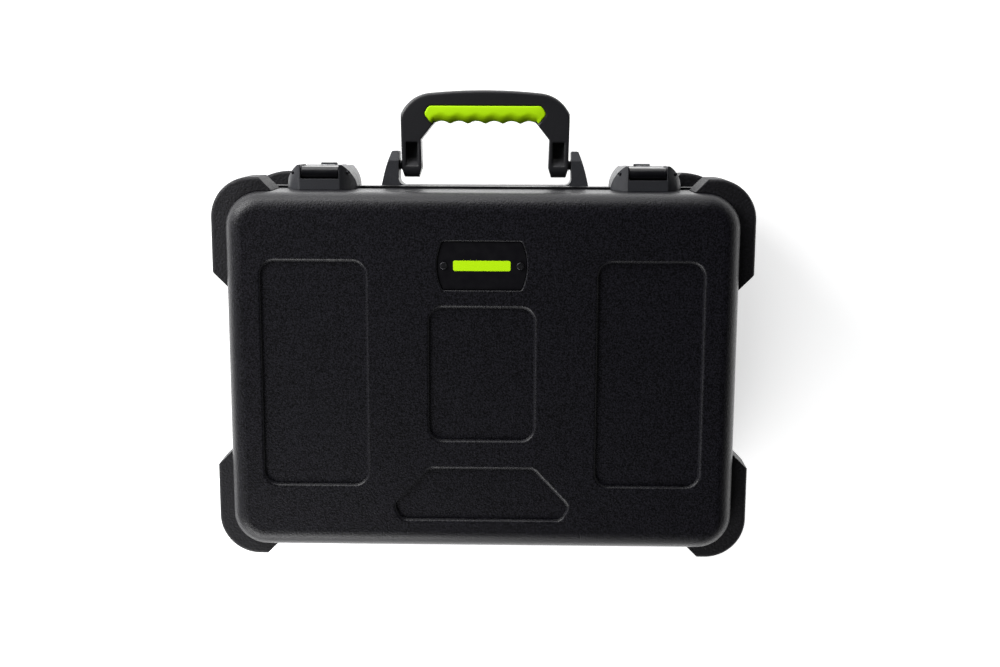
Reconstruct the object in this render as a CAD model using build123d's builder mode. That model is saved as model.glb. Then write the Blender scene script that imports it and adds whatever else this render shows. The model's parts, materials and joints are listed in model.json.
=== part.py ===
from build123d import *
import os
from math import radians, tan

# Microphone case, lying on the bottom of its base. X runs along the width, -Y is the side with the
# latches and the handle, +Y is the hinge side, and +Z is up, through the lid.
# The origin is the centre of the base's bottom face.

# ---------------------------------------------------------------- shells
case_width = 453.0          # over the base's wall at its mouth
case_depth = 322.0          # over the base's wall at its mouth, latch side to hinge side
base_height = 120.0         # from the bottom face to the parting line
lid_height = 70.0           # from the parting line to the lid's face
wall = 4.5
draft = 1.5                 # degrees, every side wall
corner_radius = 32.0        # upright corners at the mouth
lid_edge_radius = 16.0      # round the lid's face
base_edge_radius = 12.0     # round the bottom face
inner_edge_radius = 8.0     # round the floor of each cavity
parting_gap = 0.6           # between the two rims with the lid shut
seat_gap = 0.1              # between a piece and the wall it is fixed to

# rims, which cap the edge of each shell
rim_height = 8.0
rim_wall = 1.9              # each leg of the rim's channel
rim_web = 2.0               # across the shell's edge
rim_leg_gap = 0.3           # between the rim's inner leg and the wall
rim_cut = 0.2               # clear of the rim, for what bridges it
gasket_width = 3.0
gasket_height = 1.5
gasket_sunk = 1.2           # depth of its groove
gasket_gap = 0.1

# corner bumpers, seated on the shells' walls
bumper_reach = 14.5         # proud of the side walls, on both shells
bumper_reach_depth = 12.0   # lid bumpers, proud of the latch and hinge side walls
lid_bumper_radius = 37.0
lid_bumper_top = 20.0       # from the lid's face down to the bumper
lid_bumper_height = 36.0
lid_bumper_run = 44.0       # from the outside corner to the arm's end, along the width
side_bumper_run = 85.0      # the same along the case's depth
base_bumper_reach_depth = 14.0
base_bumper_radius = 56.0
base_bumper_drop = 38.0     # from the parting line down to the bumper
base_bumper_lift = 14.0     # from the bottom face up to the bumper
base_bumper_run = 56.0
bumper_edge_radius = 3.0

# ---------------------------------------------------------------- sunk panels
recess_depth = 2.8
recess_edge_radius = 2.6
side_panel_width = 91.5
side_panel_end_margin = 60.8  # from the wall's mouth to a side panel's short edge
side_panel_margin = 33.4    # from the wall's mouth to a side panel's outer edge
side_panel_radius = 12.0
centre_panel_width = 92.0
plate_to_centre = 15.5      # between the plate's recess and the centre panel
centre_to_foot = 26.0       # between the centre panel and the foot panel
centre_panel_radius = 12.0
foot_panel_top = 92.0       # the trapezoid's short side
foot_panel_bottom = 142.0
foot_panel_tips = 156.0     # the trapezoid at its widest
foot_panel_height = 47.0
foot_panel_margin = 29.0    # from the hinge side wall's mouth to the panel
foot_panel_shoulder = 34.0  # from the short side down to the tips
foot_panel_radius = 7.0
plate_recess_width = 69.0   # along its straight edges
plate_recess_height = 42.6
plate_bulge = 4.7           # how far each end bows out
plate_margin = 42.9         # from the latch side wall's mouth to the recess
plate_corner_radius = 3.0
plate_edge_radius = 1.2     # round the rim of its recess

# ---------------------------------------------------------------- name plate
plate_thickness = 1.4
plate_gap = 0.5
plate_screw_spacing = 66.8
screw_head_radius = 3.2
screw_head_height = 1.3
screw_radius = 1.5
screw_gap = 0.05
screw_head_round = 0.6

# ---------------------------------------------------------------- handle
handle_lift = 20.3          # pivot, out from the latch side wall's mouth
handle_drop = 30.0          # pivot, below the parting line
handle_width = 154.4        # over the legs at the pivot
handle_splay = 1.1          # how much wider each side is at its shoulder
leg_width = 18.4
leg_foot = 11.2             # leg below the pivot
leg_foot_round = 8.0
leg_waist = 2.5             # below the pivot, where the leg starts to narrow
leg_foot_in = 2.7           # how far the leg's inner side comes in at its foot
leg_foot_out = 2.2          # the same for its outer side
leg_draft = 0.7             # how far the inner side comes in at the gusset
handle_reach = 68.7         # pivot to the crown
shoulder_reach = 46.8
shoulder_run = 26.3         # the round corner, along the width
shoulder_bulge = 4.3        # of the round corner, over its chord
crown_round = 3.0
crown_fall = 2.7            # the crown's ends, below its middle
handle_thickness = 20.0
bar_reach = 46.5            # pivot to the underside of the bar
gusset_reach = 23.5
gusset_width = 12.1
gusset_lip = 7.0            # the gusset's upright end, below the bar
window_width = 11.0
window_low = 6.0
window_high = 21.0
window_depth = 8.0
window_ramp = 7.0

grip_length = 114.0
grip_top = 54.4
grip_bottom = 37.4
grip_sink = 1.6             # how deep its cheeks lie in the bar
grip_proud = 0.8
grip_gap = 0.2
grip_shoulder_run = 5.0     # the grip's upper corners, cut along the width
grip_shoulder_fall = 7.5    # and down from the top
grip_foot_run = 8.0         # the lower corners, along the width
finger_count = 6
finger_pitch = 16.3
finger_depth = 3.2
finger_round = 3.0          # the ridge between two fingers
grip_end_round = 4.5

pin_radius = 3.0
running_gap = 0.05          # pin in bore, on the radius
pin_in_post = 6.0
pin_recess = 1.0            # the pin's end, inside the leg's inner face

post_gap = 2.8              # handle leg to post
post_top = 33.3             # height of the post over the wall
post_top_width = 6.5
post_foot_out = 16.2        # the post's foot, outwards from its inner face
post_foot_in = 6.5          # the post's foot, inwards
post_root_radius = 6.0      # between the plate and the post
post_belly = 0.9            # how far the outer side bows out
post_top_round = 1.4
post_depth = 26.0
post_top_depth = 18.0
post_taper_height = 9.0
bracket_plate = 2.0
bush_flange = 5.2
bush_waist = 4.0
bush_end_gap = 0.3
bush_edge = 0.3             # the flat edge of each flange
backing_thickness = 2.0
backing_margin = 8.0
backing_corner = 4.0

# ---------------------------------------------------------------- latches
latch_inset = 80.5          # from the side wall's mouth to a latch's middle
latch_width = 63.4
latch_height = 21.3         # ears over the wall
latch_channel_width = 34.2
latch_channel_floor = 8.8
latch_ear = 2.4             # the flat on top of each ear
latch_mid_out = 28.8        # the ear's rounded side, half way up
latch_mid_height = 11.0
latch_lid_length = 32.0     # from the parting line towards the lid's face
latch_base_length = 36.0    # from the parting line towards the bottom
latch_top = 20.0            # top of the lock body
hasp_gap = 0.4              # the barrel, from the channel's floor and the block's far end
hasp_side_gap = 0.8         # between hasp and channel, on each side
barrel_radius = 5.3
hasp_thickness = 5.1
hasp_reach = 34.2           # pin to the tip
hasp_end_gap = 1.2          # from the tip to the channel's end
hasp_lip = 4.0
hasp_lip_depth = 8.4
hasp_pin_radius = 2.0
hasp_pin_length = 50.0
hasp_tip_round = 2.5
latch_flat_margin = 0.7     # both blocks' flat far ends, past the channel on each side
latch_sweep = 21.0          # how far each far corner runs back along the side
latch_sweep_in = 5.2        # a point on the corner's curve, in from the block's side
latch_sweep_back = 7.2      # the same point, from the far end
lock_radius = 6.5
lock_drop = 17.5            # lock cylinder, below the parting line
lock_proud = 0.5
lock_length = 15.0
lock_collar_radius = 8.0
lock_collar_proud = 0.2
lock_collar_sunk = 1.0
lock_round = 0.5
key_slot_length = 7.5
key_slot_width = 1.6
key_slot_depth = 3.0
slider_width = 15.0
slider_length = 5.0
slider_travel = 2.6
slider_gap = 0.3
slider_proud = 2.2
slider_height = 10.0
slider_end = 2.0            # from the lock body's end to the slot
slider_round = 0.8

# ---------------------------------------------------------------- rivets
rivet_radius = 2.0
rivet_head_radius = 4.5
rivet_head_height = 1.2
rivet_grip = 6.0            # how far it reaches into the block outside the wall
rivet_cut = 8.0             # how far inside the wall its hole is cut from
latch_rivet_inset = 13.0    # from a latch block's far end
bracket_rivet_spread = 8.0  # from the pivot's height, up and down
hinge_rivet_inset = 9.0     # from a leaf's far edge

# ---------------------------------------------------------------- hinges
hinge_inset = 108.5         # from the side wall's mouth to a hinge's middle
hinge_width = 66.0
hinge_axis_out = 6.5        # axis, out from the hinge side wall's mouth
knuckle_radius = 3.8
knuckle_gap = 0.4
hinge_pin_radius = 1.8
leaf_thickness = 2.0
leaf_height = 34.0
leaf_ramp = 3.0             # height of the slope where a leaf steps over the rim

# ---------------------------------------------------------------- foam
foam_gap = 5.2              # foam to the wall, clear of the rivet heads
foam_top_drop = 14.0        # parting line down to the foam's top
pad_thickness = 4.0
foam_joint = 0.3            # between two pieces of foam
floor_gap = 0.3
drop_columns = 5
drop_rows = 3
drop_diameter = 40.0
row_pitch = 62.0
bay_wall = 15.0
bay_end = 16.0
bay_partition = 14.0
bay_corner = 6.0
lid_foam_thickness = 20.0

# ---------------------------------------------------------------- worked out from the above
case_top = base_height + lid_height
side_panel_x = case_width / 2 - side_panel_margin - side_panel_width / 2
side_panel_height = case_depth - 2 * side_panel_end_margin
foot_panel_y = case_depth / 2 - foot_panel_margin - foot_panel_height / 2
plate_y = plate_margin + plate_recess_height / 2 - case_depth / 2
centre_panel_low = plate_y + plate_recess_height / 2 + plate_to_centre
centre_panel_high = foot_panel_y - foot_panel_height / 2 - centre_to_foot
latch_x = case_width / 2 - latch_inset
hinge_x = case_width / 2 - hinge_inset
base_rim_top = base_height - parting_gap / 2
lid_rim_bottom = base_height + parting_gap / 2
base_mouth = base_rim_top - rim_web
lid_mouth = lid_rim_bottom + rim_web
wall_y = -case_depth / 2                    # latch side wall at the mouth
hinge_wall_y = case_depth / 2
rim_proud = seat_gap + rim_wall
handle_y = wall_y - handle_lift
handle_z = base_height - handle_drop
post_x = handle_width / 2 + post_gap
leg_inner = handle_width / 2 - leg_width
hasp_axis_out = latch_channel_floor + hasp_gap + barrel_radius
hasp_axis_y = wall_y - hasp_axis_out
hasp_axis_z = base_height + latch_lid_length - barrel_radius - hasp_gap
hinge_y = hinge_wall_y + hinge_axis_out
backing_face = (case_depth / 2 - wall - backing_thickness - seat_gap
                - (handle_drop + post_depth / 2) * tan(radians(draft)))
foam_top = base_height - foam_top_drop
foam_floor = wall + floor_gap + pad_thickness + foam_joint
column_pitch = (case_width - 2 * (wall + foam_gap)) / drop_columns

os.makedirs("parts", exist_ok=True)


def facing_up(height):
    """A sketch plane at a height, extruding upwards."""
    return Plane.XY.offset(height)


def facing_down(height):
    """A sketch plane at a height, extruding downwards."""
    return Plane(origin=(0, 0, height), x_dir=(1, 0, 0), z_dir=(0, 0, -1))


def facing_side(distance):
    """A sketch plane across the width: local x is Y and local y is Z."""
    return Plane.YZ.offset(distance)


def tapered_block(plane, height, grow, edge_radius):
    """The shape of a shell from its mouth, grown on every side, with its far edge rounded."""
    with BuildPart() as block:
        with BuildSketch(plane):
            RectangleRounded(case_width + 2 * grow, case_depth + 2 * grow, corner_radius + grow)
        extrude(amount=height, taper=draft)
        far_face = block.faces().sort_by(Axis(plane.origin, plane.z_dir))[-1]
        fillet(far_face.edges(), radius=edge_radius)
    return block.part


def base_block(grow=0.0, edge_radius=base_edge_radius):
    """The base's outer shape."""
    return tapered_block(facing_down(base_mouth), base_mouth + min(grow, 0.0), grow, edge_radius)


def lid_block(grow=0.0, edge_radius=lid_edge_radius):
    """The lid's outer shape."""
    return tapered_block(facing_up(lid_mouth), case_top - lid_mouth + min(grow, 0.0), grow, edge_radius)


def outside_the_walls(edge):
    """Whether an edge lies outside the shells' walls."""
    return 2 * abs(edge.center().X) > case_width or 2 * abs(edge.center().Y) > case_depth


def corner_bumpers(plane, height, width, depth, radius, end_run, side_run):
    """Four corner bumpers as one ring, open between the corners with ends cut at 45 degrees."""
    with BuildPart() as bumpers:
        with BuildSketch(plane):
            RectangleRounded(width, depth, radius)
            cut = end_run
            gap = width / 2 - end_run
            side_gap = depth / 2 - side_run
            for side in (-1, 1):
                with Locations((0, side * depth / 2)):
                    Polygon((-gap, 0), (gap, 0), (gap - cut, -side * cut), (cut - gap, -side * cut),
                            align=None, mode=Mode.SUBTRACT)
                with Locations((side * width / 2, 0)):
                    Polygon((0, -side_gap), (0, side_gap), (-side * cut, side_gap - cut),
                            (-side * cut, cut - side_gap), align=None, mode=Mode.SUBTRACT)
        extrude(amount=height, taper=draft)
        for end in (0, -1):
            edges = bumpers.faces().sort_by(Axis.Z)[end].edges()
            fillet(edges.filter_by(outside_the_walls), radius=bumper_edge_radius)
    return bumpers.part


def foot_panel_points():
    """Half of the six-sided panel below the centre panel, from its short side."""
    top = foot_panel_y - foot_panel_height / 2
    tips = top + foot_panel_shoulder
    bottom = top + foot_panel_height
    return [(foot_panel_top / 2, top), (foot_panel_tips / 2, tips), (foot_panel_bottom / 2, bottom)]


def side_panels():
    """The two tall panels that the lid's face and the bottom face share."""
    with BuildSketch(mode=Mode.PRIVATE) as panels:
        with Locations((-side_panel_x, 0), (side_panel_x, 0)):
            RectangleRounded(side_panel_width, side_panel_height, side_panel_radius)
    return panels.sketch


def centre_panel():
    """The lid's middle panel."""
    with BuildSketch(mode=Mode.PRIVATE) as panel:
        with Locations((0, (centre_panel_low + centre_panel_high) / 2)):
            RectangleRounded(centre_panel_width, centre_panel_high - centre_panel_low,
                             centre_panel_radius)
    return panel.sketch


def foot_panel():
    """The six-sided panel near the hinge side."""
    with BuildSketch(mode=Mode.PRIVATE) as foot:
        half = foot_panel_points()
        Polygon(*half, *[(-x, y) for x, y in reversed(half)], align=None)
        fillet(foot.vertices(), radius=foot_panel_radius)
    return foot.sketch


def plate_outline(gap):
    """The name plate's outline: straight long edges and bowed ends, inside its recess by a gap."""
    low = plate_y - plate_recess_height / 2 + gap
    high = plate_y + plate_recess_height / 2 - gap
    half = plate_recess_width / 2 - gap
    with BuildSketch(mode=Mode.PRIVATE) as outline:
        with BuildLine():
            Line((-half, high), (half, high))
            ThreePointArc((half, high), (half + plate_bulge, plate_y), (half, low))
            Line((half, low), (-half, low))
            ThreePointArc((-half, low), (-half - plate_bulge, plate_y), (-half, high))
        make_face()
        fillet(outline.vertices(), radius=plate_corner_radius)
    return outline.sketch


def rim_block(low, high, outer_grow):
    """A plain upright block in the rim's outline."""
    with BuildPart() as block:
        with BuildSketch(facing_up(low)):
            RectangleRounded(case_width + 2 * outer_grow, case_depth + 2 * outer_grow,
                             corner_radius + outer_grow)
        extrude(amount=high - low)
    return block.part


# how far each shell's parts stay out of the way: the wall and the rim, grown by their gaps
base_seat = base_block(grow=seat_gap)
lid_seat = lid_block(grow=seat_gap)
rim_seat = rim_block(base_rim_top - rim_height - rim_cut, lid_rim_bottom + rim_height + rim_cut,
                     rim_proud + rim_cut)

# places of the rivets, as (x, z, side), side being -1 for the latch side and 1 for the hinge side
ear_middle = (latch_channel_width + latch_width) / 4
latch_rivets_lid = [(side * latch_x + offset, base_height + latch_lid_length - latch_rivet_inset, -1)
                    for side in (-1, 1) for offset in (-ear_middle, ear_middle)]
latch_rivets_base = [(side * latch_x + offset, base_height - latch_base_length + latch_rivet_inset, -1)
                     for side in (-1, 1) for offset in (-ear_middle, ear_middle)]
hinge_rivet_z = leaf_height - hinge_rivet_inset
hinge_rivets_lid = [(side * hinge_x + offset, base_height + hinge_rivet_z, 1)
                    for side in (-1, 1) for offset in (-hinge_width / 3, hinge_width / 3)]
hinge_rivets_base = [(side * hinge_x + offset, base_height - hinge_rivet_z, 1)
                     for side in (-1, 1) for offset in (-hinge_width / 3, hinge_width / 3)]
bracket_rivet_x = post_x + post_top_width / 2
bracket_rivets = [(side * bracket_rivet_x, handle_z + offset, -1)
                  for side in (-1, 1) for offset in (-bracket_rivet_spread, bracket_rivet_spread)]


def across_wall(x, z, side, start):
    """A sketch plane on a rivet's axis, facing outwards, at a distance from the case's middle."""
    return Plane(origin=(x, side * start, z), x_dir=(1, 0, 0), z_dir=(0, side, 0))


def rivet_holes(places):
    """The cutters for a set of rivets."""
    with BuildPart() as holes:
        for x, z, side in places:
            with BuildSketch(across_wall(x, z, side, case_depth / 2 - wall - rivet_cut)):
                Circle(rivet_radius + screw_gap)
            extrude(amount=wall + rivet_cut + rivet_grip + screw_gap)
    return holes.part


def rivet_set(places, mouth_z, seat=None, reach=rivet_grip):
    """Rivets with their heads inside the case, on its wall or on a flat seat at a distance from the
    case's middle, and their shanks in the piece outside."""
    with BuildPart() as rivets:
        for x, z, side in places:
            drop = (abs(z - mouth_z) + rivet_head_radius) * tan(radians(draft))
            inside = case_depth / 2 - wall - drop - seat_gap if seat is None else seat - seat_gap
            with BuildSketch(across_wall(x, z, side, inside - rivet_head_height)):
                Circle(rivet_head_radius)
            extrude(amount=rivet_head_height)
            with BuildSketch(across_wall(x, z, side, inside)):
                Circle(rivet_radius)
            extrude(amount=case_depth / 2 + reach - inside)
    return rivets.part


# ---------------------------------------------------------------- base shell
with BuildPart() as base_shell:
    add(base_block())
    for panel_sketch in (side_panels(), foot_panel()):
        with BuildSketch(facing_up(0)):
            add(panel_sketch)
        extrude(amount=recess_depth, mode=Mode.SUBTRACT)
    bottom_face = base_shell.faces().sort_by(Axis.Z)[0]
    fillet(bottom_face.inner_wires().edges(), radius=recess_edge_radius)
    add(base_block(grow=-wall, edge_radius=inner_edge_radius), mode=Mode.SUBTRACT)
    add(rivet_holes(latch_rivets_base + hinge_rivets_base + bracket_rivets), mode=Mode.SUBTRACT)
base_shell.part.label = "base_shell"
export_step(base_shell.part, "parts/base_shell.step")

# ---------------------------------------------------------------- lid shell
with BuildPart() as lid_shell:
    add(lid_block())
    for panel_sketch in (side_panels(), centre_panel(), foot_panel()):
        with BuildSketch(facing_up(case_top)):
            add(panel_sketch)
        extrude(amount=-recess_depth, mode=Mode.SUBTRACT)
    top_face = lid_shell.faces().sort_by(Axis.Z)[-1]
    fillet(top_face.inner_wires().edges(), radius=recess_edge_radius)
    with BuildSketch(facing_up(case_top)):
        add(plate_outline(0.0))
    extrude(amount=-recess_depth, mode=Mode.SUBTRACT)
    top_face = lid_shell.faces().sort_by(Axis.Z)[-1]
    fillet(top_face.inner_wires().sort_by(Axis.Y)[0].edges(), radius=plate_edge_radius)
    add(lid_block(grow=-wall, edge_radius=inner_edge_radius), mode=Mode.SUBTRACT)
    add(rivet_holes(latch_rivets_lid + hinge_rivets_lid), mode=Mode.SUBTRACT)
    with BuildSketch(facing_up(case_top)):
        with Locations((-plate_screw_spacing / 2, plate_y), (plate_screw_spacing / 2, plate_y)):
            Circle(screw_radius + screw_gap)
    extrude(amount=-2 * wall, mode=Mode.SUBTRACT)
lid_shell.part.label = "lid_shell"
export_step(lid_shell.part, "parts/lid_shell.step")

# ---------------------------------------------------------------- corner bumpers
base_bumper_height = base_height - base_bumper_drop - base_bumper_lift
bumper_rings = {
    "base_bumper": (corner_bumpers(facing_down(base_height - base_bumper_drop), base_bumper_height,
                                   case_width + 2 * bumper_reach,
                                   case_depth + 2 * base_bumper_reach_depth,
                                   base_bumper_radius, base_bumper_run, side_bumper_run), base_seat),
    "lid_bumper": (corner_bumpers(facing_up(case_top - lid_bumper_top - lid_bumper_height),
                                  lid_bumper_height, case_width + 2 * bumper_reach,
                                  case_depth + 2 * bumper_reach_depth,
                                  lid_bumper_radius, lid_bumper_run, side_bumper_run), lid_seat),
}
bumper_corners = {"latch_left": (1, -1), "latch_right": (-1, -1),
                  "hinge_left": (1, 1), "hinge_right": (-1, 1)}
for shell_name, (ring, seat) in bumper_rings.items():
    for corner_name, (side_x, side_y) in bumper_corners.items():
        with BuildPart() as bumper:
            add(ring)
            with BuildSketch(facing_up(0)):
                with Locations((side_x * case_width / 2, side_y * case_depth / 2)):
                    Rectangle(case_width, case_depth)
            extrude(amount=case_top, mode=Mode.INTERSECT)
            add(seat, mode=Mode.SUBTRACT)
        bumper.part.label = f"{shell_name}_{corner_name}"
        export_step(bumper.part, f"parts/{bumper.part.label}.step")


# ---------------------------------------------------------------- rims and gasket
def rim(plane):
    """A channel that caps a shell's edge: an outer leg, a web and an inner leg."""
    with BuildPart() as channel:
        with BuildSketch(plane):
            RectangleRounded(case_width + 2 * rim_proud, case_depth + 2 * rim_proud,
                             corner_radius + rim_proud)
            inner = -wall - rim_leg_gap - rim_wall
            RectangleRounded(case_width + 2 * inner, case_depth + 2 * inner, corner_radius + inner,
                             mode=Mode.SUBTRACT)
        extrude(amount=rim_height)
        with BuildSketch(plane.offset(rim_web)):
            RectangleRounded(case_width + 2 * seat_gap, case_depth + 2 * seat_gap,
                             corner_radius + seat_gap)
            inner = -wall - rim_leg_gap
            RectangleRounded(case_width + 2 * inner, case_depth + 2 * inner, corner_radius + inner,
                             mode=Mode.SUBTRACT)
        extrude(amount=rim_height, mode=Mode.SUBTRACT)
    return channel.part


def gasket_ring(width, low, high):
    """A ring along the middle of the rim."""
    middle = -wall / 2
    with BuildPart() as ring:
        with BuildSketch(facing_up(low)):
            outer = middle + width / 2
            RectangleRounded(case_width + 2 * outer, case_depth + 2 * outer, corner_radius + outer)
            inner = middle - width / 2
            RectangleRounded(case_width + 2 * inner, case_depth + 2 * inner, corner_radius + inner,
                             mode=Mode.SUBTRACT)
        extrude(amount=high - low)
    return ring.part


with BuildPart() as base_rim:
    add(rim(facing_down(base_rim_top)))
    add(gasket_ring(gasket_width + 2 * gasket_gap, base_rim_top - gasket_sunk, base_rim_top),
        mode=Mode.SUBTRACT)
base_rim.part.label = "base_rim"
export_step(base_rim.part, "parts/base_rim.step")

with BuildPart() as lid_rim:
    add(rim(facing_up(lid_rim_bottom)))
lid_rim.part.label = "lid_rim"
export_step(lid_rim.part, "parts/lid_rim.step")

with BuildPart() as gasket:
    gasket_low = base_rim_top - gasket_sunk
    add(gasket_ring(gasket_width, gasket_low, gasket_low + gasket_height))
gasket.part.label = "gasket"
export_step(gasket.part, "parts/gasket.step")

# ---------------------------------------------------------------- name plate and its screws
plate_low = case_top - recess_depth
with BuildPart() as name_plate:
    with BuildSketch(facing_up(plate_low)):
        add(plate_outline(plate_gap))
        with Locations((-plate_screw_spacing / 2, plate_y), (plate_screw_spacing / 2, plate_y)):
            Circle(screw_radius + screw_gap, mode=Mode.SUBTRACT)
    extrude(amount=plate_thickness)
name_plate.part.label = "name_plate"
export_step(name_plate.part, "parts/name_plate.step")

with BuildPart() as plate_screws:
    with BuildSketch(facing_up(plate_low + plate_thickness)):
        with Locations((-plate_screw_spacing / 2, plate_y), (plate_screw_spacing / 2, plate_y)):
            Circle(screw_head_radius)
    extrude(amount=screw_head_height)
    fillet(plate_screws.faces().group_by(Axis.Z)[-1].edges(), radius=screw_head_round)
    with BuildSketch(facing_up(plate_low + plate_thickness)):
        with Locations((-plate_screw_spacing / 2, plate_y), (plate_screw_spacing / 2, plate_y)):
            Circle(screw_radius)
    extrude(amount=recess_depth - plate_thickness - wall)
plate_screws.part.label = "plate_screws"
export_step(plate_screws.part, "parts/plate_screws.step")

# ---------------------------------------------------------------- handle bracket
with BuildPart() as handle_bracket:
    with BuildSketch(facing_up(handle_z - post_depth / 2)):
        foot = post_x - post_foot_in
        root_y = wall_y - bracket_plate
        with BuildLine():
            Polyline((foot, wall_y + wall), (foot, root_y), (post_x - post_root_radius, root_y))
            TangentArc((post_x - post_root_radius, root_y), (post_x, root_y - post_root_radius),
                       tangent=(1, 0))
            Polyline((post_x, root_y - post_root_radius), (post_x, wall_y - post_top),
                     (post_x + post_top_width, wall_y - post_top))
            SagittaArc((post_x + post_top_width, wall_y - post_top),
                       (post_x + post_foot_out, wall_y), -post_belly)
            Polyline((post_x + post_foot_out, wall_y), (post_x + post_foot_out, wall_y + wall),
                     (foot, wall_y + wall))
        make_face()
        mirror(about=Plane.YZ)
        with Locations((0, wall_y + wall)):
            Rectangle(2 * foot, bracket_plate + wall, align=(Align.CENTER, Align.MAX))
    extrude(amount=post_depth)
    # the posts narrow towards their tops, seen from the side
    with BuildSketch(facing_side(0)):
        low_z = handle_z - post_depth / 2
        high_z = handle_z + post_depth / 2
        inset = (post_depth - post_top_depth) / 2
        taper_y = wall_y - post_top + post_taper_height
        Polygon((wall_y + wall, low_z), (wall_y + wall, high_z), (taper_y, high_z),
                (wall_y - post_top, high_z - inset), (wall_y - post_top, low_z + inset),
                (taper_y, low_z), align=None)
    extrude(amount=case_width / 2, both=True, mode=Mode.INTERSECT)
    top_edges = handle_bracket.edges().group_by(Axis.Y)[0].filter_by(Axis.Z)
    fillet(top_edges, radius=post_top_round)
    for side in (-1, 1):
        with BuildSketch(Plane(origin=(0, handle_y, handle_z), x_dir=(0, 1, 0), z_dir=(side, 0, 0))):
            Circle(pin_radius + running_gap)
        extrude(amount=post_x + pin_in_post + running_gap, mode=Mode.SUBTRACT)
    add(base_seat, mode=Mode.SUBTRACT)
    add(rivet_holes(bracket_rivets), mode=Mode.SUBTRACT)
handle_bracket.part.label = "handle_bracket"
export_step(handle_bracket.part, "parts/handle_bracket.step")

with BuildPart() as wall_ring:
    add(base_block(grow=seat_gap))
    add(base_block(grow=-wall - seat_gap, edge_radius=inner_edge_radius), mode=Mode.SUBTRACT)

with BuildPart() as backing_plate:
    backing_wide = 2 * (bracket_rivet_x + backing_margin)
    with BuildSketch(Plane(origin=(0, -backing_face, handle_z), x_dir=(1, 0, 0), z_dir=(0, -1, 0))):
        RectangleRounded(backing_wide, post_depth, backing_corner)
    extrude(amount=backing_thickness + wall)
    add(wall_ring.part, mode=Mode.SUBTRACT)
    add(rivet_holes(bracket_rivets), mode=Mode.SUBTRACT)
backing_plate.part.label = "backing_plate"
export_step(backing_plate.part, "parts/backing_plate.step")

# ---------------------------------------------------------------- handle pivots
with BuildPart() as handle_pins:
    for side in (-1, 1):
        with BuildSketch(Plane(origin=(side * (leg_inner + pin_recess), handle_y, handle_z),
                               x_dir=(0, 1, 0), z_dir=(side, 0, 0))):
            Circle(pin_radius)
        extrude(amount=post_x + pin_in_post - leg_inner - pin_recess)
handle_pins.part.label = "handle_pins"
export_step(handle_pins.part, "parts/handle_pins.step")

with BuildPart() as handle_bushes:
    for side in (-1, 1):
        length = post_gap - bush_end_gap
        with BuildSketch(Plane(origin=(side * post_x, handle_y, handle_z), x_dir=(-side, 0, 0),
                               z_dir=(0, 0, -1))):
            with BuildLine():
                Polyline((0, pin_radius + running_gap), (0, bush_flange), (bush_edge, bush_flange))
                ThreePointArc((bush_edge, bush_flange), (length / 2, bush_waist),
                              (length - bush_edge, bush_flange))
                Polyline((length - bush_edge, bush_flange), (length, bush_flange),
                         (length, pin_radius + running_gap), (0, pin_radius + running_gap))
            make_face()
        revolve(axis=Axis((0, handle_y, handle_z), (1, 0, 0)))
handle_bushes.part.label = "handle_bushes"
export_step(handle_bushes.part, "parts/handle_bushes.step")


# ---------------------------------------------------------------- handle
def handle_outline(grow):
    """The handle's frame seen from the front, round the pivots' line, grown by a gap."""
    half = handle_width / 2
    shoulder = half + handle_splay
    crown_end = (shoulder - shoulder_run, handle_reach - crown_fall)
    bar_end = leg_inner - gusset_width
    with BuildSketch(mode=Mode.PRIVATE) as outline:
        with BuildLine():
            Polyline((0, bar_reach), (bar_end, bar_reach), (bar_end, bar_reach - gusset_lip),
                     (leg_inner + leg_draft, gusset_reach), (leg_inner, -leg_waist),
                     (leg_inner + leg_foot_in, -leg_foot), (half - leg_foot_out, -leg_foot),
                     (half, -leg_waist), (shoulder, shoulder_reach))
            SagittaArc((shoulder, shoulder_reach), crown_end, -shoulder_bulge)
            TangentArc((0, handle_reach), crown_end, tangent=(1, 0))
            Line((0, handle_reach), (0, bar_reach))
        make_face()
        mirror(about=Plane.YZ)
        if grow:
            offset(amount=grow, kind=Kind.INTERSECTION)
    return outline.sketch


def is_ridge(corner):
    """Whether a corner of the grip's outline is a ridge between two fingers."""
    low = corner.Y < grip_bottom + finger_depth / 2
    return low and abs(corner.X) < (finger_count - 1) * finger_pitch / 2


def grip_outline(grow):
    """The grip seen from the front, with its finger grooves."""
    half = grip_length / 2
    with BuildSketch(mode=Mode.PRIVATE) as outline:
        with BuildLine():
            Polyline((grip_shoulder_run - half, grip_top), (half - grip_shoulder_run, grip_top),
                     (half, grip_top - grip_shoulder_fall), (half - grip_foot_run, grip_bottom),
                     (grip_foot_run - half, grip_bottom), (-half, grip_top - grip_shoulder_fall),
                     close=True)
        make_face()
        upper = outline.vertices().filter_by(lambda corner: corner.Y > grip_bottom + finger_depth)
        fillet(upper, radius=grip_end_round)
        if grow:
            offset(amount=grow, kind=Kind.INTERSECTION)
        else:
            groove = ((finger_pitch / 2) ** 2 + finger_depth ** 2) / (2 * finger_depth)
            for finger in range(finger_count):
                x = (finger - (finger_count - 1) / 2) * finger_pitch
                with Locations((x, grip_bottom + finger_depth - groove)):
                    Circle(groove, mode=Mode.SUBTRACT)
            ridges = outline.vertices().filter_by(is_ridge)
            fillet(ridges, radius=finger_round)
    return outline.sketch


def handle_plane(height):
    """A plane across the handle: local y runs from the pivots' line to the crown."""
    return Plane(origin=(0, handle_y, handle_z + height), x_dir=(-1, 0, 0), z_dir=(0, 0, 1))


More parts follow.
